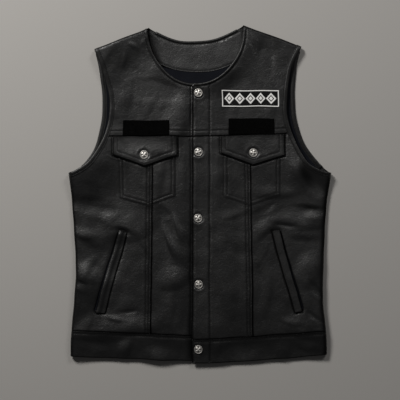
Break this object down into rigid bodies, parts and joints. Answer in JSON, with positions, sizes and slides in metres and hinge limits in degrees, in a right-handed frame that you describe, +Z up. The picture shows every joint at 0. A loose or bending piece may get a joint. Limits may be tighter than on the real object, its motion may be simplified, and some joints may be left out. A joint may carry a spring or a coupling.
{
  "type": "leather vest",
  "caption": "Collarless black leather waistcoat with a round neck, snap front, chest flaps and slanted hand pockets, shown closed and laid flat on its back.",
  "frame": {"origin": "on the table below the middle of the vest's bounding box", "axes": "+X to the wearer's left, +Y from the hem to the neck, +Z up off the table, out of the fronts"},
  "size_m": [0.5113, 0.6597, 0.0135],
  "materials": {
    "leather": "black, soft grey sheen, fine grain",
    "lining": "dark navy woven lining",
    "loop": "black hook-and-loop pile",
    "patch": "white embroidered border on black twill",
    "snap_metal": "antique silver plate"
  },
  "bodies": {
    "root": {"back_panel": "leather", "back_waistband": "leather", "back_neck_facing": "leather", "back_neck_binding": "leather", "back_lining": "lining", "right_yoke": "leather", "right_centre_panel": "leather", "right_side_panel": "leather", "right_waistband": "leather", "right_neck_binding": "leather", "right_armhole_binding_lower": "leather", "right_armhole_binding_upper": "leather", "right_back_armhole_binding": "leather", "right_chest_flap": "leather", "right_hand_pocket_welt": "leather", "right_chest_pocket_bag": "lining", "right_hand_pocket_bag": "lining", "right_loop_strip": "loop", "right_flap_snap": "snap_metal", "left_yoke": "leather", "left_centre_panel": "leather", "left_side_panel": "leather", "left_waistband": "leather", "left_neck_binding": "leather", "left_armhole_binding_lower": "leather", "left_armhole_binding_upper": "leather", "left_back_armhole_binding": "leather", "left_chest_flap": "leather", "left_hand_pocket_welt": "leather", "left_chest_pocket_bag": "lining", "left_hand_pocket_bag": "lining", "left_loop_strip": "loop", "left_flap_snap": "snap_metal", "name_patch": "patch", "front_snap_1": "snap_metal", "front_snap_2": "snap_metal", "front_snap_3": "snap_metal", "front_snap_4": "snap_metal", "front_snap_5": "snap_metal"}
  },
  "joints": []
}
